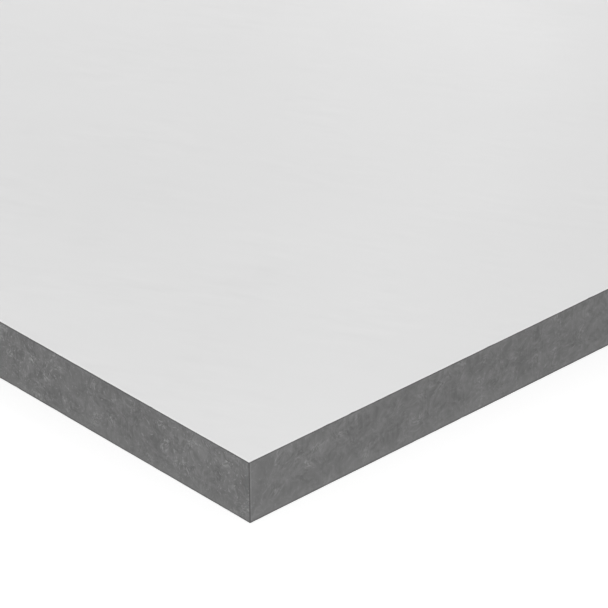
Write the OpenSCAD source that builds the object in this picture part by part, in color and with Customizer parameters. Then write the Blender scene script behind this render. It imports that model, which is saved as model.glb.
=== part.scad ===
// Sawn sheet of rigid grey PVC, lying flat on its lower pressed face, in millimetres.
// The origin is at the centre of the lower face, X runs along the length and +Z points up
// out of the upper face. The sheet is one solid: two flat pressed faces, four sawn sides and
// a narrow flat along each of its twelve arrises, where the sharp edge has been scraped off.

/* [Sheet] */
// Length of the sheet, along X
sheet_length = 609.6; // [100:0.1:2440]
// Width of the sheet, along Y
sheet_width = 609.6; // [100:0.1:1220]
// Thickness between the two pressed faces, along Z
sheet_thickness = 25.4; // [6:0.1:76.2]

/* [Arrises] */
// Set-back of the flat along each level arris, where a sawn side meets a pressed face
face_arris = 0.2; // [0.05:0.05:1.5]
// Set-back of the flat on each upright arris, where two sawn sides meet
corner_arris = 0.3; // [0.05:0.05:2.5]

/* [Hidden] */

sheet_grey = [0.62, 0.62, 0.62];

// Outline of a rectangle of wide by tall about the origin, its corners cut back at 45 degrees
// by cut. The points go round anticlockwise from the right end of the lower side.
function eased_rectangle(wide, tall, cut) =
    let (x = wide / 2, y = tall / 2)
    [
        [x - cut, -y], [x, -y + cut],
        [x, y - cut], [x - cut, y],
        [-x + cut, y], [-x, y - cut],
        [-x, -y + cut], [-x + cut, -y]
    ];

// Plan of the sheet run up through its thickness: the four sides and the upright arrises.
module plan_prism() {
    linear_extrude(height = sheet_thickness)
        polygon(eased_rectangle(sheet_length, sheet_width, corner_arris));
}

// End section of a sheet as wide as wide, run level along Y for run: the two pressed faces,
// two sides and the level arrises that follow them.
module section_prism(wide, run) {
    translate([0, run / 2, sheet_thickness / 2])
        rotate([90, 0, 0])
            linear_extrude(height = run)
                polygon(eased_rectangle(wide, sheet_thickness, face_arris));
}

// The sheet is what its plan and its two sections share, so that the flats of the arrises
// meet in mitres at the corners.
module sheet() {
    color(sheet_grey)
        intersection() {
            plan_prism();
            section_prism(sheet_length, sheet_width);
            rotate([0, 0, 90])
                section_prism(sheet_width, sheet_length);
        }
}

sheet();
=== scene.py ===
# Visual model of a sawn sheet of rigid grey PVC that lies flat on a pale floor, in metres.
import math

import bpy
import numpy as np
from mathutils import Matrix, Vector

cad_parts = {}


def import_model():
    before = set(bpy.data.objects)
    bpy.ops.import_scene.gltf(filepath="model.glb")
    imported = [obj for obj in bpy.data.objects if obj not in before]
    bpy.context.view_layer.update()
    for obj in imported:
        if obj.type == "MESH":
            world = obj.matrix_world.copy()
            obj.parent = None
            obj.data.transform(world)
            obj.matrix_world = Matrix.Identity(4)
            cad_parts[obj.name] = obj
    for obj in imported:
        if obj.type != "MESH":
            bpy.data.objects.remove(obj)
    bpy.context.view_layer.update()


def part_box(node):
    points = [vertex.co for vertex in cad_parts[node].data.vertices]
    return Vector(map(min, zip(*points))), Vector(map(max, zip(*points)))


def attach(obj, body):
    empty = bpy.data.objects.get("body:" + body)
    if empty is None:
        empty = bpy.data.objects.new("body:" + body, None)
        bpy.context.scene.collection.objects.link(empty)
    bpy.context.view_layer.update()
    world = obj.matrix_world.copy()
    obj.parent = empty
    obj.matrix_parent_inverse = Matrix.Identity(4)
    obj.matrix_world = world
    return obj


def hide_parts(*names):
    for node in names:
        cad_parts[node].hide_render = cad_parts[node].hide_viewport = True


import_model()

mm = 0.001

# Camera, at the photograph's viewing angle
picture_side = 608
focal_length_pixels = 3692.1
sensor_width = 36.0
camera_place = Vector((-1.04407, -1.14303, 0.70874))
camera_look = Vector((0.5902619, 0.6455361, -0.4846381))
camera_roll = math.radians(-0.58)
nearest_seen = 0.05
farthest_seen = 60.0


def place_camera():
    """Camera frame from the look direction: level right, then up, both turned about it by the roll."""
    look = camera_look.normalized()
    level_right = look.cross(Vector((0.0, 0.0, 1.0))).normalized()
    level_up = level_right.cross(look)
    right = math.cos(camera_roll) * level_right + math.sin(camera_roll) * level_up
    up = math.cos(camera_roll) * level_up - math.sin(camera_roll) * level_right
    data = bpy.data.cameras.new("photograph")
    data.sensor_width = sensor_width
    data.lens = focal_length_pixels * sensor_width / picture_side
    data.clip_start = nearest_seen
    data.clip_end = farthest_seen
    camera = bpy.data.objects.new("photograph", data)
    turn = Matrix((right, up, -look)).transposed().to_4x4()
    camera.matrix_world = Matrix.Translation(camera_place) @ turn
    bpy.context.collection.objects.link(camera)
    bpy.context.scene.camera = camera


place_camera()

# Sizes of the sheet, from its CAD box
half_length, half_width, thickness = np.array(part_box("sheet")[1])

# Upright arrises. The bulge is the share of an arris's width by which its middle stands out.
corner_cut = 0.3 * mm
corner_bulge = 0.12

# Level arrises. Their middle row lies at the eased share of their width, and the tilt is the share
# by which their fall may differ from their set-back.
arris_usual = 0.2 * mm
arris_wander = 0.08 * mm
arris_long_wave = 40 * mm
arris_short_wave = 3 * mm
arris_eased = 0.36
arris_tilt = 0.25
arris_tilt_wave = 7 * mm

# Nicks in the level arrises. Each is as deep as the deepest times the square of a random share, from
# the least share to 1, and its reach each way is in millimetres.
nicks_on_arris = 46
nick_depth = 0.22 * mm
nick_least_share = 0.15
nick_least_reach = 0.7
nick_most_reach = 2.2

# Dips and waves of the sawn sides: depths, cells along and up, and the waves' shares of their
# depth, which add up to 1 so that nothing stands proud
saw_dip_depth = 0.05 * mm
saw_dip_cell = (38 * mm, 30 * mm)
saw_wave_depth = 0.035 * mm
blade_cell = (5.5 * mm, 60 * mm)
blade_slant = 0.35
blade_share = 0.35
smear_cell = (4.2 * mm, 3.4 * mm)
smear_share = 0.45
ripple_cell = (2.0 * mm, 2.0 * mm)
ripple_share = 0.2
corner_calm = 2.5 * mm

# Waves of the pressed faces, which begin and are whole at two distances from the edge
press_wave_depth = 0.05 * mm
press_long_cell = (150 * mm, 130 * mm)
press_short_cell = (60 * mm, 55 * mm)
press_calm = (1.0 * mm, 30.0 * mm)

# Shares of the long and the short wave, where one is laid over the other
long_wave_share = 0.6
short_wave_share = 0.4

# How thickly the torn flecks lie: least, more by a wave, and more again on one side
fleck_wave = 75 * mm
fleck_least = 0.15
fleck_by_wave = 0.5
fleck_by_side = 0.35
fleckiest_side = 3

# Seeds of the random fields
saw_dip_seed = 11
blade_seed = 12
smear_seed = 13
ripple_seed = 14
press_long_seed = 21
press_short_seed = 22
top_arris_seed = 31
low_arris_seed = 41
top_tilt_seed = 51
low_tilt_seed = 52
fleck_seed = 61

# Fineness of the mesh
steps_along_side = 720
steps_up_side = 20
steps_across_face = 60
face_rim = 4.0 * mm
arris_rows = 2
sharp_turn = math.radians(18.0)

# Table of random numbers behind each field: its rows, and the row that a field starts from
table_rows = 256
table_start = 100.0


def eased(t):
    """3t^2 - 2t^3, which leaves 0 and reaches 1 level."""
    return t * t * (3.0 - 2.0 * t)


def fade(distance, start, end):
    """Ramp from 0 at start to 1 at end, eased by 3t^2 - 2t^3."""
    return eased(np.clip((distance - start) / (end - start), 0.0, 1.0))


def raised(values):
    """Values from -1 to 1, brought to 0 to 1."""
    return 0.5 + 0.5 * values


def lattice_noise(seed, along, across, cell_along, cell_across, loop):
    """Smooth random values from -1 to 1 at each pair (along, across). Random numbers stand at the
    corners of a grid of cells and are blended inside each cell by 3t^2 - 2t^3, first along and
    then across. The grid closes on itself after loop metres along."""
    cells = max(1, round(loop / cell_along))
    table = np.random.default_rng(seed).uniform(-1.0, 1.0, (cells, table_rows))
    u = np.asarray(along) / loop * cells
    v = np.asarray(across) / cell_across + table_start
    u, v = np.broadcast_arrays(u, v)
    i = np.floor(u).astype(int)
    j = np.floor(v).astype(int)
    s = eased(u - i)
    t = eased(v - j)
    this_row = j % table_rows
    next_row = (j + 1) % table_rows
    near = table[i % cells, this_row] * (1.0 - s) + table[(i + 1) % cells, this_row] * s
    far = table[i % cells, next_row] * (1.0 - s) + table[(i + 1) % cells, next_row] * s
    return near * (1.0 - t) + far * t


def outline():
    """Outline of the sheet from above, anticlockwise from its near corner. Each side is a straight
    run of equal steps between two upright arrises, and one more point stands in the middle of the
    arris that follows it, pushed out by the bulge. For every point it gives the place, the way it
    moves for each metre of set-back, the distance along the outline and the distance along its
    side from the arris where that side starts, and with them the length of the whole outline."""
    starts = np.array([[-1, -1], [1, -1], [1, 1], [-1, 1]]) * [half_length, half_width]
    runs = np.roll(starts, -1, axis=0) - starts
    lengths = np.linalg.norm(runs, axis=1)
    ways = runs / lengths[:, None]
    outward = np.stack([ways[:, 1], -ways[:, 0]], axis=1)
    shares = np.linspace(0.0, 1.0, steps_along_side + 1)
    places, inward, travelled, from_start = [], [], [], []
    reached = 0.0
    slope = math.tan(math.pi / 8.0)
    flat = corner_cut * math.sqrt(2.0)
    for side in range(4):
        run = corner_cut + shares * (lengths[side] - 2.0 * corner_cut)
        places.append(starts[side] + run[:, None] * ways[side])
        lean = np.zeros(len(run))
        lean[0] = slope
        lean[-1] = -slope
        inward.append(-outward[side] + lean[:, None] * ways[side])
        travelled.append(reached + run - corner_cut)
        from_start.append(run - corner_cut)
        reached += lengths[side] - 2.0 * corner_cut + flat
        after = (side + 1) % 4
        diagonal = (outward[side] + outward[after]) / math.sqrt(2.0)
        corner = starts[after] - diagonal * (corner_cut / math.sqrt(2.0) - corner_bulge * flat)
        places.append(corner[None, :])
        inward.append(-diagonal[None, :])
        travelled.append(np.array([reached - flat / 2.0]))
        from_start.append(np.array([0.0]))
    return (
        np.concatenate(places),
        np.concatenate(inward),
        np.concatenate(travelled),
        np.concatenate(from_start),
        reached,
    )


points_round, inward_round, distance_round, from_corner, distance_whole = outline()
columns = len(points_round)
columns_per_side = steps_along_side + 2
column_in_side = np.arange(columns) % columns_per_side
on_upright_arris = column_in_side >= steps_along_side

# Distance from the nearer upright arris, on sides that are all one length, as the sheet is square
side_run = 2.0 * half_length - 2.0 * corner_cut
to_upright_arris = np.maximum(np.minimum(from_corner, side_run - from_corner), 0.0)
to_upright_arris = np.where(column_in_side > steps_along_side, 0.0, to_upright_arris)


def noise_round(seed, cell):
    """Smooth random values at every point round the outline, with waves about a cell long."""
    return lattice_noise(seed, distance_round, 0.0, cell, 1.0, distance_whole)


def noise_on_side(seed, height, cell, slant=0.0):
    """Smooth random values on the unrolled sides, at every point round the outline and each of its
    heights. A cell has a length along and a height, and leans by the slant."""
    along = distance_round[:, None] + slant * height
    return lattice_noise(seed, along, height, *cell, distance_whole)


def arris_widths(seed):
    """Set-back of one level arris at every point round the sheet: its usual width, plus a long and
    a short smooth random wave, plus nicks, which are bell curves of random place, depth and
    reach."""
    wide = arris_usual + arris_wander * (
        long_wave_share * noise_round(seed, arris_long_wave)
        + short_wave_share * noise_round(seed + 1, arris_short_wave)
    )
    draw = np.random.default_rng(seed + 2)
    middle = draw.uniform(0.0, distance_whole, nicks_on_arris)
    deep = nick_depth * draw.uniform(nick_least_share, 1.0, nicks_on_arris) ** 2
    reach = draw.uniform(nick_least_reach, nick_most_reach, nicks_on_arris) * mm
    away = (distance_round[:, None] - middle[None, :]) / reach[None, :]
    return wide + (deep * np.exp(-away * away)).sum(axis=1)


def sawn_set_back(height):
    """How far the sawn side lies behind its CAD plane, never in front of it: slow dips, slanting
    waves left by the blade, smears and small ripples, each a smooth random field on the unrolled
    side, faded out at the upright arrises."""
    slow = noise_on_side(saw_dip_seed, height, saw_dip_cell)
    blade = noise_on_side(blade_seed, height, blade_cell, blade_slant)
    smear = noise_on_side(smear_seed, height, smear_cell)
    ripple = noise_on_side(ripple_seed, height, ripple_cell)
    waves = 1.0 + blade_share * blade + smear_share * smear + ripple_share * ripple
    depth = saw_dip_depth * raised(slow) + saw_wave_depth * waves
    return depth * fade(to_upright_arris, 0.0, corner_calm)[:, None]


def from_face_edge(x, y):
    """Distance of plan places from the nearest edge of the sheet."""
    return np.minimum(half_length - np.abs(x), half_width - np.abs(y))


def press_dip(x, y):
    """How far a pressed face lies inside its CAD plane: long smooth random waves, faded out
    towards the edges of the sheet."""
    loop = 4.0 * half_length
    along = x + half_length
    wave = long_wave_share * lattice_noise(press_long_seed, along, y, *press_long_cell, loop)
    wave = wave + short_wave_share * lattice_noise(press_short_seed, along, y, *press_short_cell, loop)
    return press_wave_depth * raised(wave) * fade(from_face_edge(x, y), *press_calm)


def band_rows():
    """Points of the band that runs round the sheet, as rows by columns. The rows go down from the
    rim of the upper face: two above the side on the upper arris, eased at its middle, then equal
    steps down the side, then two below it on the lower arris. Each point is its outline point
    moved in by its row's set-back."""
    top = arris_widths(top_arris_seed)[:, None]
    low = arris_widths(low_arris_seed)[:, None]
    top_fall = top * (1.0 + arris_tilt * noise_round(top_tilt_seed, arris_tilt_wave)[:, None])
    low_rise = low * (1.0 + arris_tilt * noise_round(low_tilt_seed, arris_tilt_wave)[:, None])
    shares = np.linspace(0.0, 1.0, steps_up_side + 1)[None, :]
    side_z = (thickness - top_fall) * (1.0 - shares) + low_rise * shares
    side_in = sawn_set_back(side_z)
    first_in = side_in[:, :1]
    last_in = side_in[:, -1:]
    inset = np.concatenate(
        [top + first_in, top * arris_eased + first_in, side_in,
         low * arris_eased + last_in, low + last_in], axis=1)
    level = np.concatenate(
        [np.full_like(top, thickness), thickness - top_fall * arris_eased, side_z,
         low_rise * arris_eased, np.zeros_like(low)], axis=1)
    flat = points_round[:, None, :] + inward_round[:, None, :] * inset[:, :, None]
    return np.concatenate([flat, level[:, :, None]], axis=2).transpose(1, 0, 2)


band = band_rows()
rows = len(band)


def face_grid():
    """Plan places of the inner grid of a pressed face: equal steps both ways, a rim's width in
    from the sides."""
    x = np.linspace(-half_length + face_rim, half_length - face_rim, steps_across_face + 1)
    y = np.linspace(-half_width + face_rim, half_width - face_rim, steps_across_face + 1)
    return np.meshgrid(x, y, indexing="xy")


grid_x, grid_y = face_grid()
grid_index = np.arange(grid_x.size).reshape(grid_x.shape)
grid_edge = np.concatenate(
    [grid_index[0, :-1], grid_index[:-1, -1], grid_index[-1, :0:-1], grid_index[:0:-1, 0]])

# For each step round the outline, the point on the edge of the inner grid that it is joined to
share_of_step = (np.arange(steps_along_side) + 0.5) * steps_across_face / steps_along_side
nearest = np.concatenate([np.round(share_of_step), [steps_across_face, steps_across_face]])
joined = (np.arange(4)[:, None] * steps_across_face + nearest[None, :]).astype(int).ravel()
joined = grid_edge[joined % len(grid_edge)]

band_index = np.arange(rows * columns).reshape(rows, columns)
top_start = band_index.size
low_start = top_start + grid_index.size


def band_quads():
    """Quads between each row and the next and between each column and the next, round the loop,
    seen anticlockwise from outside."""
    here = band_index[:-1]
    below = band_index[1:]
    quads = np.stack([here, below, np.roll(below, -1, axis=1), np.roll(here, -1, axis=1)], axis=2)
    return quads.reshape(-1, 4)


def face_quads(start):
    """Quads of an inner grid, seen anticlockwise from above."""
    g = grid_index + start
    return np.stack([g[:-1, :-1], g[:-1, 1:], g[1:, 1:], g[1:, :-1]], axis=2).reshape(-1, 4)


def rim_triangles(ring, start):
    """Triangles from the outline ring to the edge of the inner grid, seen anticlockwise from
    above: one on each step of the ring, with the grid point it is joined to, and one at each
    place where that grid point gives way to the next."""
    on_ring = np.stack([ring, np.roll(ring, -1), joined + start], axis=1)
    before = np.roll(joined, 1)
    turn = before != joined
    on_grid = np.stack([before[turn] + start, ring[turn], joined[turn] + start], axis=1)
    return np.concatenate([on_ring, on_grid])


def sheet_mesh():
    """The whole sheet as one closed surface: the band round it, and two faces that close it."""
    dip = press_dip(grid_x, grid_y).ravel()
    plan = np.stack([grid_x.ravel(), grid_y.ravel()], axis=1)
    top = np.concatenate([plan, (thickness - dip)[:, None]], axis=1)
    low = np.concatenate([plan, dip[:, None]], axis=1)
    points = np.concatenate([band.reshape(-1, 3), top, low])
    side = band_quads()
    quads = np.concatenate([side, face_quads(top_start), face_quads(low_start)[:, ::-1]])
    triangles = np.concatenate(
        [rim_triangles(band_index[0], top_start), rim_triangles(band_index[-1], low_start)[:, ::-1]])
    mesh = bpy.data.meshes.new("pvc_sheet")
    mesh.vertices.add(len(points))
    mesh.vertices.foreach_set("co", points.astype(np.float32).ravel())
    corners = np.concatenate([quads.ravel(), triangles.ravel()])
    mesh.loops.add(len(corners))
    mesh.loops.foreach_set("vertex_index", corners.astype(np.int32))
    sizes = np.concatenate([np.full(len(quads), 4), np.full(len(triangles), 3)])
    firsts = np.concatenate([[0], np.cumsum(sizes)[:-1]])
    mesh.polygons.add(len(sizes))
    mesh.polygons.foreach_set("loop_start", firsts.astype(np.int32))
    mesh.polygons.foreach_set("material_index", face_materials(len(side), len(sizes)))
    mesh.update(calc_edges=True)
    mesh.validate()
    lay_out(mesh, corners, len(side) * 4, len(quads) * 4)
    mark(mesh, "to_level_arris", edge_distance())
    mark(mesh, "from_corner", down_the_band(from_corner, 1.0))
    mark(mesh, "to_upright_arris", down_the_band(to_upright_arris, 1.0))
    mark(mesh, "fleck_share", down_the_band(fleck_share(), 0.0))
    mesh.polygons.foreach_set("use_smooth", np.ones(len(sizes), bool))
    mesh.set_sharp_from_angle(angle=sharp_turn)
    return mesh


def face_materials(band_faces, faces):
    """Which material each face wears: 0 on the pressed faces, 1 on the sawn sides, and 2 on the
    arrises, which are the outer rows of the band and its corner columns."""
    pressed, sawn, scraped = 0, 1, 2
    worn = np.full(faces, pressed, np.int32)
    table = np.full((rows - 1, columns), sawn, np.int32)
    table[:arris_rows] = scraped
    table[-arris_rows:] = scraped
    table[:, on_upright_arris] = scraped
    worn[:band_faces] = table.ravel()
    return worn


def edge_distance():
    """Distance of every point from the nearest level arris, measured on the surface."""
    z = band[:, :, 2]
    on_band = np.minimum(z, thickness - z)
    on_face = from_face_edge(grid_x, grid_y).ravel()
    return np.concatenate([on_band.ravel(), on_face, on_face])


def fleck_share():
    """How thickly the torn flecks lie round the sheet: a smooth random wave, raised on the side
    that shows them most."""
    wave = raised(noise_round(fleck_seed, fleck_wave))
    fleckier = np.arange(columns) // columns_per_side == fleckiest_side
    return np.clip(fleck_least + fleck_by_wave * wave + fleck_by_side * fleckier, 0.0, 1.0)


def down_the_band(values, on_faces):
    """Values given round the outline, the same in every row of the band, and one number for all
    points of the two faces."""
    return np.concatenate([np.tile(values, rows), np.full(2 * grid_x.size, on_faces)])


def mark(mesh, name, values):
    """Stores one number for each point of the mesh under a name that materials can read."""
    layer = mesh.attributes.new(name, "FLOAT", "POINT")
    layer.data.foreach_set("value", values.astype(np.float32))


# Layout of the baked map: the band in strips, one above another, then the two faces side by side
strips = 6
map_gap = 0.004
strip_height = 0.0655
arris_share = 0.03


def lay_out(mesh, corners, band_corners, quad_corners):
    """Two maps. The one named unrolled is in metres: distance round the sheet and height on the
    band, and the plan on the faces. The other packs the same pieces into a unit square."""
    column = np.tile(np.arange(columns), rows - 1)
    row = np.repeat(np.arange(rows - 1), columns)
    quad_columns = np.stack([column, column, column + 1, column + 1], axis=1)
    quad_rows = np.stack([row, row + 1, row + 1, row], axis=1)
    round_ends = np.append(distance_round, distance_whole + distance_round[0])
    every = np.empty(len(mesh.vertices) * 3, np.float32)
    mesh.vertices.foreach_get("co", every)
    plan = every.reshape(-1, 3)[corners, :2][band_corners:]

    unrolled = np.zeros((len(corners), 2))
    unrolled[:band_corners, 0] = round_ends[quad_columns].ravel()
    unrolled[:band_corners, 1] = band[quad_rows, quad_columns % columns, 2].ravel()
    unrolled[band_corners:] = plan

    packed = np.zeros_like(unrolled)
    packed[:band_corners] = band_in_strips(quad_columns, quad_rows, round_ends)
    rim = quad_corners + 3 * len(rim_triangles(band_index[0], top_start))
    low_face = corners[band_corners:] >= low_start
    low_face = low_face | (np.arange(band_corners, len(corners)) >= rim)
    packed[band_corners:] = faces_side_by_side(plan, low_face)
    for name, places in (("unrolled", unrolled), ("OFBake", packed)):
        layer = mesh.uv_layers.new(name=name)
        layer.uv.foreach_set("vector", places.astype(np.float32).ravel())


def band_in_strips(quad_columns, quad_rows, round_ends):
    """Packed places of the band's corners. The band is cut into equal strips, so that the sides get
    the finer share of the map. Across a strip goes the share of its length, and down it the share
    of its height, with a little room for the arrises."""
    strip_of_column = np.arange(columns) * strips // columns
    first = np.searchsorted(strip_of_column, np.arange(strips))
    strip = strip_of_column[quad_columns[:, 0]][:, None]
    longest = np.diff(np.append(round_ends[first], distance_whole)).max()
    share = (round_ends[quad_columns] - round_ends[first][strip]) / longest
    drop = np.concatenate([
        [0.0, 0.5 * arris_share],
        np.linspace(arris_share, 1.0 - arris_share, rows - 2 * arris_rows),
        [1.0 - 0.5 * arris_share, 1.0],
    ])
    base = map_gap + (strip + 1) * (strip_height + map_gap) - map_gap
    across = map_gap + share * (1.0 - 2.0 * map_gap)
    up = base - drop[quad_rows] * strip_height
    return np.stack([across.ravel(), up.ravel()], axis=1)


def faces_side_by_side(plan, low_face):
    """Packed places of the faces' corners above the strips: the share of the sheet's length and
    width, with the lower face moved over beside the upper one."""
    faces_base = strips * (strip_height + map_gap) + map_gap
    face_size = 0.5 - 1.5 * map_gap
    on_face = plan / [2.0 * half_length, 2.0 * half_width] + 0.5
    across = map_gap + on_face[:, 0] * face_size + low_face * (face_size + map_gap)
    return np.stack([across, faces_base + on_face[:, 1] * face_size], axis=1)


# Helpers for node trees
def add(tree, kind, inputs=None, **settings):
    """Adds one shader node with its settings, and gives each named input a value or a link."""
    made = tree.nodes.new("ShaderNode" + kind)
    for name, value in settings.items():
        setattr(made, name, value)
    for name, value in (inputs or {}).items():
        fill(tree, made.inputs[name], value)
    return made


def fill(tree, socket, value):
    """Gives an input a link, where the value is an output, or else the value itself."""
    if isinstance(value, bpy.types.NodeSocket):
        tree.links.new(value, socket)
    else:
        socket.default_value = value


def work(tree, kind, *numbers):
    """One step of arithmetic on numbers or sockets."""
    return add(tree, "Math", dict(enumerate(numbers)), operation=kind).outputs[0]


def scaled(tree, vector, factor):
    """A vector times a number."""
    return add(tree, "VectorMath", {0: vector, 3: factor}, operation="SCALE").outputs[0]


def ease(tree, value, low, high, to_low=0.0, to_high=1.0):
    """Eases value from to_low at low to to_high at high, by 3t^2 - 2t^3."""
    made = add(tree, "MapRange", {"Value": value, "From Min": low, "From Max": high,
                                  "To Min": to_low, "To Max": to_high},
               interpolation_type="SMOOTHSTEP")
    return made.outputs["Result"]


def strongest_at(tree, distance, reach, most):
    """A share that is most where the distance is 0, and eases to 0 at its reach."""
    return ease(tree, distance, reach, 0.0, 0.0, most)


def noise(tree, vector, size, detail=2.0, rough=0.5, dimensions="2D"):
    """Noise about 0, from -0.5 to 0.5, with features about size across in the vector's unit."""
    scale = 1.0 / size if isinstance(size, float) else work(tree, "DIVIDE", 1.0, size)
    made = add(tree, "TexNoise", {"Vector": vector, "Scale": scale, "Detail": detail, "Roughness": rough},
               noise_dimensions=dimensions)
    return work(tree, "SUBTRACT", made.outputs[0], 0.5)


def patches(tree, vector, size, low, high, to_low=0.0, to_high=1.0):
    """Patches about size across: to_low where a plain noise is below low, and to_high where it is
    above high."""
    return ease(tree, noise(tree, vector, size, detail=1.0), low, high, to_low, to_high)


def crossings(tree, vector, size, width, detail=1.0):
    """Winding lines where a noise crosses its middle: 1 there, and 0 where the noise is a width
    away from it."""
    return ease(tree, work(tree, "ABSOLUTE", noise(tree, vector, size, detail)), width, 0.0)


def pushed(tree, vector, size, reach):
    """The vector pushed about its plane by two noises of a size, by about a reach either way."""
    push = add(tree, "TexNoise", {"Vector": vector, "Scale": 1.0 / size, "Detail": 1.0},
               noise_dimensions="2D")
    push = add(tree, "VectorMath", {0: push.outputs["Color"], 1: (0.5, 0.5, 0.5)}, operation="SUBTRACT")
    push = scaled(tree, push.outputs[0], reach)
    return add(tree, "VectorMath", {0: vector, 1: push}, operation="ADD").outputs[0]


def middles(tree, vector, size):
    """Distance to the nearest of scattered middles about size apart, in the vector's unit."""
    made = add(tree, "TexVoronoi", {"Vector": vector, "Scale": 1.0 / size},
               voronoi_dimensions="2D", feature="F1")
    return work(tree, "MULTIPLY", made.outputs["Distance"], size)


def grey(tree, share, dark, light):
    """A neutral grey between dark, which may be a colour socket, and light."""
    made = add(tree, "Mix", {0: share, 7: (light, light, light, 1.0)}, data_type="RGBA")
    fill(tree, made.inputs[6], dark if isinstance(dark, bpy.types.NodeSocket) else (dark, dark, dark, 1.0))
    return made.outputs[2]


def group(name, inputs, outputs):
    """Starts a shader node group with named inputs and outputs. An input has its default, or None
    where it is a vector."""
    tree = bpy.data.node_groups.new(name, "ShaderNodeTree")
    for label, value in inputs.items():
        kind = "NodeSocketVector" if value is None else "NodeSocketFloat"
        socket = tree.interface.new_socket(label, in_out="INPUT", socket_type=kind)
        if value is not None:
            socket.default_value = value
    for label in outputs:
        tree.interface.new_socket(label, in_out="OUTPUT", socket_type="NodeSocketFloat")
    return tree, tree.nodes.new("NodeGroupInput").outputs, tree.nodes.new("NodeGroupOutput").inputs


def placed(tree, group_tree, **inputs):
    """Puts a node group into a material, with a value or a link for each of its inputs. An
    underscore in an input's name here is a space there."""
    made = add(tree, "Group", node_tree=group_tree)
    for name, value in inputs.items():
        fill(tree, made.inputs[name.replace("_", " ")], value)
    return made.outputs


# Fine grain: how much wider and how strong its second noise is
wide_grain = 4.0
wide_grain_share = 0.5


def grain_group():
    """Fine grain of the plastic: a noise of the grain's size, and a weaker and wider one."""
    tree, given, out = group("fine_grain", {"Place": None, "Size": 0.5}, ["Grain"])
    fine = noise(tree, given["Place"], given["Size"])
    wide = noise(tree, given["Place"], work(tree, "MULTIPLY", given["Size"], wide_grain))
    tree.links.new(work(tree, "MULTIPLY_ADD", wide, wide_grain_share, fine), out["Grain"])
    return tree


# Edge wear and painted edge shade: size of their patches in millimetres, and the span of noise from bare to
# whole
wear_patch_size = 2.4
wear_span = 0.2


def wear_and_shade_group():
    """A band along an edge, for edge wear and for painted contact shade: 1 at the edge and 0 at its reach,
    thinned in patches by the broken share.
    """
    tree, given, out = group("edge_wear_and_shade", {"Place": None, "Distance": 1.0, "Reach": 0.5, "Broken": 0.5},
                             ["Worn"])
    near = work(tree, "SUBTRACT", 1.0, work(tree, "DIVIDE", given["Distance"], given["Reach"]))
    near = ease(tree, near, 0.0, 1.0)
    whole = noise(tree, given["Place"], wear_patch_size, detail=3.0, rough=0.6)
    whole = ease(tree, whole, -wear_span, wear_span)
    kept = work(tree, "MULTIPLY_ADD", work(tree, "SUBTRACT", whole, 1.0), given["Broken"], 1.0)
    tree.links.new(work(tree, "MULTIPLY", near, kept), out["Worn"])
    return tree


# Saw marks on the unrolled side. Sizes, reaches, gaps and middles are in millimetres. The widths of
# ridges, hooks and creases are values of their noise, and arcs start from a value of their sine.
# Patches give the size of the noise that lets a mark show, and its values where the mark begins
# and is whole. Teeth are drawn out in height by 1 over their height scale.
warp_size = 9.0
warp_reach = 5.5
curl_size = 2.4
curl_reach = 1.25
busy_patches = (12.0, -0.14, 0.16)
busy_strength = (0.65, 1.3)
slow_size = 34.0
blotch_size = 7.5
wisp_size = 2.4
ridge_size = 4.6
ridge_width = 0.055
ridge_patches = (10.0, -0.06, 0.14)
hook_size = 2.0
hook_width = 0.09
hook_patches = (8.5, -0.03, 0.14)
crease_size = 6.0
crease_width = 0.05
crease_patches = (13.0, 0.0, 0.16)
arc_middles = 14.0
arc_gap = 2.6
arc_from = 0.3
arc_patches = (11.0, -0.02, 0.1)
tooth_size = 0.7
tooth_height_scale = 0.05
tooth_patches = (14.0, -0.02, 0.14)
grit_patches = (1.15, 0.0, 0.32)

# Strength of each mark in the tone. A pair goes from few flecks to many.
few_flecks = 0.2
many_flecks = 1.0
blotch_tone = (0.6, 0.78)
slow_tone = (0.1, 0.4)
wisp_tone = 0.8
ridge_tone = 0.13
hook_tone = 0.11
crease_tone = -0.1
arc_tone = (0.19, 0.1)
tooth_tone = 0.36
grit_tone = (0.05, 0.5)
whole_tone = (1.04, 1.19)

# Torn flecks, in the same units. A clump is whole at its heart and ends at its reach.
clump_middles = 8.0
clump_reach = 4.2
clump_heart = 0.4
clump_chance_size = 11.0
clump_chance = (0.16, 0.27)
clump_chance_by_share = 0.22
torn_patches = (1.2, -0.09, 0.22)
stray_patches = (1.4, 0.14, 0.3)
core_patches = (0.95, 0.08, 0.22)
fleck_strength = 0.6
core_strength = 0.55
fleck_growth = (0.25, 0.85, 0.25, 1.0)

# Share of the flecks and of the tone in the relief
fleck_relief = 0.3
tone_relief = 0.6


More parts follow.
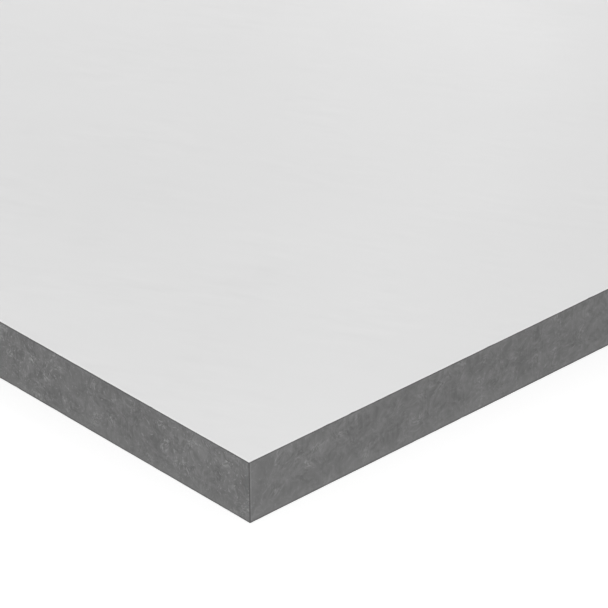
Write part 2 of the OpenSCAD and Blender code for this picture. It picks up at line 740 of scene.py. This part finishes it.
def saw_tone(tree, place, warped, curled, share):
    """Tone of the saw's marks about 0, as a sum of each mark times its strength. Blotches and wisps
    are plain noises, ridges and small hooks are light winding lines, and creases are dark ones.
    Arcs are rings about scattered middles, teeth are upright lines of a noise that is drawn out
    in height, and grit is the high part of a fine noise."""
    def by_share(few, many):
        """A strength that eases from one where flecks are few to the other where they are many."""
        return ease(tree, share, few_flecks, many_flecks, few, many)

    def in_patches(shape, where):
        """A mark times the patches that it shows in."""
        return work(tree, "MULTIPLY", shape, patches(tree, place, *where))

    # Wisps and grit are strong where the side is busy
    busy = patches(tree, place, *busy_patches, *busy_strength)
    blotch = noise(tree, warped, blotch_size, rough=0.55)
    wisp = noise(tree, curled, wisp_size)
    ridges = in_patches(crossings(tree, curled, ridge_size, ridge_width), ridge_patches)
    hooks = in_patches(crossings(tree, curled, hook_size, hook_width), hook_patches)
    creases = in_patches(crossings(tree, warped, crease_size, crease_width, detail=2.0), crease_patches)
    turns = work(tree, "MULTIPLY", middles(tree, warped, arc_middles), 2.0 * math.pi / arc_gap)
    arcs = in_patches(ease(tree, work(tree, "SINE", turns), arc_from, 1.0), arc_patches)
    upright = add(tree, "Mapping", {"Vector": place, "Scale": (1.0, tooth_height_scale, 1.0)}).outputs[0]
    teeth = in_patches(noise(tree, upright, tooth_size, detail=1.0), tooth_patches)
    tone = work(tree, "MULTIPLY", blotch, by_share(*blotch_tone))
    for shape, strength in (
        (noise(tree, place, slow_size, detail=1.0), by_share(*slow_tone)),
        (wisp, work(tree, "MULTIPLY", busy, wisp_tone)),
        (ridges, ridge_tone),
        (hooks, hook_tone),
        (creases, crease_tone),
        (arcs, by_share(*arc_tone)),
        (teeth, tooth_tone),
        (patches(tree, curled, *grit_patches), work(tree, "MULTIPLY", busy, by_share(*grit_tone))),
    ):
        tone = work(tree, "MULTIPLY_ADD", shape, strength, tone)
    return work(tree, "MULTIPLY", tone, by_share(*whole_tone))


def torn_flecks(tree, place, warped, curled, share):
    """Torn flecks, as a share of bright. Clumps lie about scattered middles, and a slow noise and
    the fleck share choose which of them show. Fine noises break them into specks and put crisp
    cores into them, and a few specks stray between them."""
    clump = ease(tree, middles(tree, warped, clump_middles), clump_reach, clump_heart)
    chance = noise(tree, place, clump_chance_size, detail=1.0)
    chance = work(tree, "ADD", chance, work(tree, "MULTIPLY", share, clump_chance_by_share))
    clump = work(tree, "MULTIPLY", clump, ease(tree, chance, *clump_chance))
    specks = work(tree, "MULTIPLY", clump, patches(tree, curled, *torn_patches))
    strays = work(tree, "MULTIPLY", patches(tree, curled, *stray_patches), share)
    cores = work(tree, "MULTIPLY", clump, patches(tree, warped, *core_patches))
    flecks = work(tree, "MULTIPLY_ADD", work(tree, "MAXIMUM", specks, strays), fleck_strength,
                  work(tree, "MULTIPLY", cores, core_strength))
    return work(tree, "MULTIPLY", flecks, ease(tree, share, *fleck_growth))


def saw_group():
    """What the saw left on a cut side, from a place in millimetres on the unrolled side and the
    share of flecks there. Tone is about 0. Flecks are bright where they are 1. Relief is the
    height of both. Warped and curled are the place pushed about, which bends every mark."""
    tree, given, out = group("saw_marks", {"Place": None, "Fleck share": 0.4}, ["Tone", "Flecks", "Relief"])
    warped = pushed(tree, given["Place"], warp_size, warp_reach)
    curled = pushed(tree, warped, curl_size, curl_reach)
    tone = saw_tone(tree, given["Place"], warped, curled, given["Fleck share"])
    flecks = torn_flecks(tree, given["Place"], warped, curled, given["Fleck share"])
    relief = work(tree, "MULTIPLY_ADD", flecks, fleck_relief, work(tree, "MULTIPLY", tone, tone_relief))
    tree.links.new(tone, out["Tone"])
    tree.links.new(flecks, out["Flecks"])
    tree.links.new(relief, out["Relief"])
    return tree


fine_grain = grain_group()
edge_wear_and_shade = wear_and_shade_group()
saw_marks = saw_group()

millimetres_in_metre = 1000.0


def new_material(name):
    """A material with its Principled shader and output, and nothing linked to them yet."""
    material = bpy.data.materials.new(name)
    material.use_nodes = True
    tree = material.node_tree
    tree.nodes.clear()
    shader = add(tree, "BsdfPrincipled")
    output = add(tree, "OutputMaterial")
    tree.links.new(shader.outputs[0], output.inputs["Surface"])
    return material, tree, shader.inputs


def millimetres(tree, name):
    """A number that the mesh's points hold in metres, in millimetres."""
    metres = add(tree, "Attribute", attribute_name=name).outputs["Fac"]
    return work(tree, "MULTIPLY", metres, millimetres_in_metre)


def place_on_sheet(tree):
    """Place on the sheet in millimetres."""
    return scaled(tree, add(tree, "TexCoord").outputs["Object"], millimetres_in_metre)


def place_unrolled(tree):
    """Place on the unrolled side in millimetres."""
    return scaled(tree, add(tree, "UVMap", uv_map="unrolled").outputs[0], millimetres_in_metre)


def wear_and_shade_mask(tree, place, distance, reach, broken):
    """The edge wear and shade group in a material, with its reach in millimetres."""
    return placed(tree, edge_wear_and_shade, Place=place, Distance=distance, Reach=reach, Broken=broken)["Worn"]


def raise_surface(tree, finish, height, strength, deep):
    """Turns the shader's normal as a relief would, where a height of 1 is deep metres."""
    bump = add(tree, "Bump", {"Strength": strength, "Distance": deep, "Height": height})
    tree.links.new(bump.outputs[0], finish["Normal"])


# Pressed faces: greys as linear values, sizes and reaches in millimetres
# The pressed grey is far paler than the sawn grey: partly the face's own colour, partly painted sheen of
# the studio light on the satin face
pressed_grey_and_sheen = 0.70
pressed_dark = pressed_grey_and_sheen * 0.97
pressed_light = pressed_grey_and_sheen * 1.03
pressed_rim = pressed_grey_and_sheen * 1.07
pressed_rim_reach = 1.8
pressed_rim_broken = 0.45
cloud_size = 70.0
cloud_strength = 0.9
streak_size = 6.5
streak_stretch = 3.6
streak_turn = math.radians(-62.0)
streak_patch_size = 45.0
streak_patch_span = (-0.1, 0.16)
streak_patch_strength = (0.25, 1.3)
streak_strength = 1.3
streak_span = 0.2
pressed_roughness = (0.33, 0.41)
pressed_grain = 0.8
pressed_bump = 0.25
pressed_bump_deep = 0.01 * mm


def pressed_material():
    """Smooth pressed face: pale grey, partly its own colour and partly painted sheen of the studio light,
    with faint clouds and oblique streaks, which are noises, the second drawn out along one direction
    and stronger in patches. It is satin, a little duller where the streaks are light, with a fine
    grain and a lighter worn rim."""
    material, tree, finish = new_material("pressed_pvc")
    place = place_on_sheet(tree)
    clouds = noise(tree, place, cloud_size, detail=3.0, dimensions="3D")
    along = add(tree, "Mapping", {"Vector": place, "Rotation": (0.0, 0.0, streak_turn),
                                  "Scale": (streak_stretch, 1.0, 1.0)}, vector_type="TEXTURE").outputs[0]
    streaks = noise(tree, along, streak_size, rough=0.6, dimensions="3D")
    strong = ease(tree, noise(tree, place, streak_patch_size), *streak_patch_span, *streak_patch_strength)
    streaks = work(tree, "MULTIPLY", streaks, strong)
    share = work(tree, "MULTIPLY_ADD", clouds, cloud_strength, 0.5)
    share = work(tree, "MULTIPLY_ADD", streaks, streak_strength, share)
    colour = grey(tree, share, pressed_dark, pressed_light)
    from_arris = millimetres(tree, "to_level_arris")
    worn = wear_and_shade_mask(tree, place, from_arris, pressed_rim_reach, pressed_rim_broken)
    colour = grey(tree, worn, colour, pressed_rim)
    tree.links.new(colour, finish["Base Color"])
    tree.links.new(ease(tree, streaks, -streak_span, streak_span, *pressed_roughness), finish["Roughness"])
    grain = placed(tree, fine_grain, Place=place, Size=pressed_grain)["Grain"]
    raise_surface(tree, finish, grain, pressed_bump, pressed_bump_deep)
    return material


# Sawn sides: greys as linear values, and reaches in millimetres. Each wear, and the painted contact
# shade at the foot, has its reach and its broken share, and each plain scuff, and the painted bounce
# light low on the side, its reach and its strength.
sawn_grey = 0.1855
sawn_dark = sawn_grey * 0.72
sawn_light = sawn_grey * 1.28
fleck_grey = sawn_grey * 2.45
# Lighter grey for the scuffs, and for the painted bounce light from the floor low on the side
scuff_and_bounce_grey = sawn_grey * 1.5
line_grey = sawn_grey * 0.5
# The dark line at the foot is painted contact shade where the side meets the floor
foot_shade_grey = sawn_grey * 0.4
level_wear = (2.0, 0.5)
level_wear_strength = 0.3
upright_wear = (1.3, 0.6)
upright_scuff = (10.0, 0.15)
handled_scuff = (55.0, 0.08)
# The lighter band low on the side is painted bounce light from the floor
floor_bounce_light = (9.0, 0.42)
line_wear = (0.8, 0.3)
line_strength = 0.7
# Reach and broken share of the painted contact shade at the foot
foot_shade_spread = (1.15, 0.3)
foot_shade_strength = 0.9
tone_span = 0.4
sawn_roughness = (0.74, 0.6)
sawn_grain = 0.35
sawn_grain_share = 0.35
sawn_bump = 1.0
sawn_bump_deep = 0.1 * mm


def sawn_material():
    """Sawn side: dark grey with the saw's tone and torn flecks, dull, with their relief. Greys are
    laid over that in turn: a lighter band beside the level arrises, a lighter scuff beside the
    upright arris where the side starts, a faint one near both its upright arrises, a lighter band low
    down that is painted bounce light from the floor, a dark burnished line beside the level arrises,
    and a stronger dark line at the foot that is painted contact shade."""
    material, tree, finish = new_material("sawn_pvc")
    place = place_unrolled(tree)
    share = add(tree, "Attribute", attribute_name="fleck_share").outputs["Fac"]
    marks = placed(tree, saw_marks, Place=place, Fleck_share=share)
    from_arris = millimetres(tree, "to_level_arris")
    past_corner = millimetres(tree, "from_corner")
    from_upright = millimetres(tree, "to_upright_arris")
    height = add(tree, "SeparateXYZ", {0: place}).outputs["Y"]
    level = work(tree, "MULTIPLY", wear_and_shade_mask(tree, place, from_arris, *level_wear), level_wear_strength)
    upright = wear_and_shade_mask(tree, place, past_corner, *upright_wear)
    upright = work(tree, "MAXIMUM", upright, strongest_at(tree, past_corner, *upright_scuff))
    line = work(tree, "MULTIPLY", wear_and_shade_mask(tree, place, from_arris, *line_wear), line_strength)
    # Painted contact shade along the foot of the side, where it meets the floor
    foot_shade = work(tree, "MULTIPLY", wear_and_shade_mask(tree, place, height, *foot_shade_spread), foot_shade_strength)
    colour = grey(tree, work(tree, "ADD", marks["Tone"], 0.5), sawn_dark, sawn_light)
    for mask, tint in (
        (marks["Flecks"], fleck_grey),
        (level, scuff_and_bounce_grey),
        (upright, scuff_and_bounce_grey),
        (strongest_at(tree, from_upright, *handled_scuff), scuff_and_bounce_grey),
        # Painted bounce light from the floor, low on the side
        (strongest_at(tree, height, *floor_bounce_light), scuff_and_bounce_grey),
        (line, line_grey),
        # Painted contact shade at the foot
        (foot_shade, foot_shade_grey),
    ):
        colour = grey(tree, mask, colour, tint)
    tree.links.new(colour, finish["Base Color"])
    tree.links.new(ease(tree, marks["Tone"], -tone_span, tone_span, *sawn_roughness), finish["Roughness"])
    grain = placed(tree, fine_grain, Place=place, Size=sawn_grain)["Grain"]
    relief = work(tree, "MULTIPLY_ADD", grain, sawn_grain_share, marks["Relief"])
    raise_surface(tree, finish, relief, sawn_bump, sawn_bump_deep)
    return material


# Scraped arrises: greys as linear values, and the grain's size in millimetres
arris_grey = 0.092
arris_dark = arris_grey * 0.8
arris_light = arris_grey * 1.2
arris_grain = 0.6
grain_span = 0.4
arris_roughness = (0.42, 0.55)
arris_bump = 0.4
arris_bump_deep = 0.03 * mm


def scraped_material():
    """Scraped arris: darker and smoother than the sawn side, mottled by the grain."""
    material, tree, finish = new_material("scraped_pvc")
    grain = placed(tree, fine_grain, Place=place_unrolled(tree), Size=arris_grain)["Grain"]
    colour = grey(tree, work(tree, "ADD", grain, 0.5), arris_dark, arris_light)
    tree.links.new(colour, finish["Base Color"])
    tree.links.new(ease(tree, grain, -grain_span, grain_span, *arris_roughness), finish["Roughness"])
    raise_surface(tree, finish, grain, arris_bump, arris_bump_deep)
    return material


# The sheet
sheet = bpy.data.objects.new("pvc_sheet", sheet_mesh())
bpy.context.collection.objects.link(sheet)
sheet.data.materials.append(pressed_material())
sheet.data.materials.append(sawn_material())
sheet.data.materials.append(scraped_material())
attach(sheet, "root")
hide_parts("sheet")

# Floor and world, with the distances at which the floor's glow begins and ends to grow
floor_half = 20.0
floor_gap = 0.1 * mm
floor_lap = 1.0 * mm
floor_grey = 0.5
glow_grows = (0.7, 2.0)
glow_near = 0.69
glow_far = 0.75
world_level = 0.55


def seen_directly(tree):
    """1 for rays from the camera, and for those that gloss or glass sends on, else 0."""
    path = add(tree, "LightPath").outputs
    seen = work(tree, "MAXIMUM", path["Is Camera Ray"], path["Is Glossy Ray"])
    return work(tree, "MAXIMUM", seen, path["Is Transmission Ray"])


def floor():
    """A wide level square just under the sheet, white but for soft shadows to rays that see it
    directly, by a glow that is a little stronger far away and lights nothing else. It is clear
    from below, and has a square opening that the sheet covers, so that light reaches the sheet's
    underside."""
    square = np.array([[-1, -1], [1, -1], [1, 1], [-1, 1]])
    corners = np.concatenate([square * floor_half, square * (half_length - floor_lap)])
    corners = np.concatenate([corners, np.full((8, 1), -floor_gap)], axis=1)
    mesh = bpy.data.meshes.new("floor")
    mesh.from_pydata(corners.tolist(), [], [(0, 1, 5, 4), (1, 2, 6, 5), (2, 3, 7, 6), (3, 0, 4, 7)])
    material = bpy.data.materials.new("white_floor")
    material.use_nodes = True
    tree = material.node_tree
    tree.nodes.clear()
    output = add(tree, "OutputMaterial")
    paint = add(tree, "BsdfDiffuse", {"Color": (floor_grey, floor_grey, floor_grey, 1.0)})
    away = add(tree, "VectorMath", {0: add(tree, "TexCoord").outputs["Object"]}, operation="LENGTH")
    glow = ease(tree, away.outputs["Value"], *glow_grows, glow_near, glow_far)
    glow = add(tree, "Emission", {"Strength": work(tree, "MULTIPLY", seen_directly(tree), glow)})
    white = add(tree, "AddShader", {0: paint.outputs[0], 1: glow.outputs[0]})
    clear = add(tree, "BsdfTransparent")
    back = add(tree, "NewGeometry").outputs["Backfacing"]
    whole = add(tree, "MixShader", {0: back, 1: white.outputs[0], 2: clear.outputs[0]})
    tree.links.new(whole.outputs[0], output.inputs["Surface"])
    mesh.materials.append(material)
    piece = bpy.data.objects.new("floor", mesh)
    bpy.context.collection.objects.link(piece)


def world():
    """White to rays that see it directly, and a plain even light from all round."""
    made = bpy.data.worlds.new("studio")
    made.use_nodes = True
    tree = made.node_tree
    tree.nodes.clear()
    output = add(tree, "OutputWorld")
    soft = add(tree, "Background", {"Color": (1.0, 1.0, 1.0, 1.0), "Strength": world_level})
    white = add(tree, "Background", {"Color": (1.0, 1.0, 1.0, 1.0), "Strength": 1.0})
    mix = add(tree, "MixShader", {0: seen_directly(tree), 1: soft.outputs[0], 2: white.outputs[0]})
    tree.links.new(mix.outputs[0], output.inputs["Surface"])
    bpy.context.scene.world = made


# Lamps: name, place, target, side, watts, and whether the sheet's gloss shows them. The two on the
# camera's side don't show in it, as the photograph has no such highlight.
sheet_middle = (0.0, 0.0, 0.0)
near_corner = (-half_length, -half_width, 0.0)
lamps = (
    ("above_far_corner", (0.5, 0.7, 1.2), sheet_middle, 0.5, 2.97, True),
    ("low_behind", (0.9, 1.0, 0.45), sheet_middle, 0.5, 1.16, True),
    ("low_right", (0.75, 0.45, 0.5), sheet_middle, 0.4, 0.64, True),
    ("behind_left", (0.3, 1.3, 0.7), sheet_middle, 0.5, 4.6, True),
    ("by_near_corner", (-0.45, -0.5, 0.4), sheet_middle, 0.3, 0.6, False),
    ("low_front", (-3.1, -3.5, 0.78), near_corner, 1.1, 29.8, False),
)


def lamp(name, place, target, side, watts, glossed):
    """A square area lamp that faces its target, and that the camera doesn't see."""
    data = bpy.data.lights.new(name, "AREA")
    data.shape = "SQUARE"
    data.size = side
    data.energy = watts
    piece = bpy.data.objects.new(name, data)
    way = Vector(target) - Vector(place)
    piece.matrix_world = Matrix.Translation(place) @ way.to_track_quat("-Z", "Y").to_matrix().to_4x4()
    piece.visible_camera = False
    piece.visible_glossy = glossed
    bpy.context.collection.objects.link(piece)


floor()
world()
for each in lamps:
    lamp(*each)
bpy.context.scene.view_settings.view_transform = "Standard"
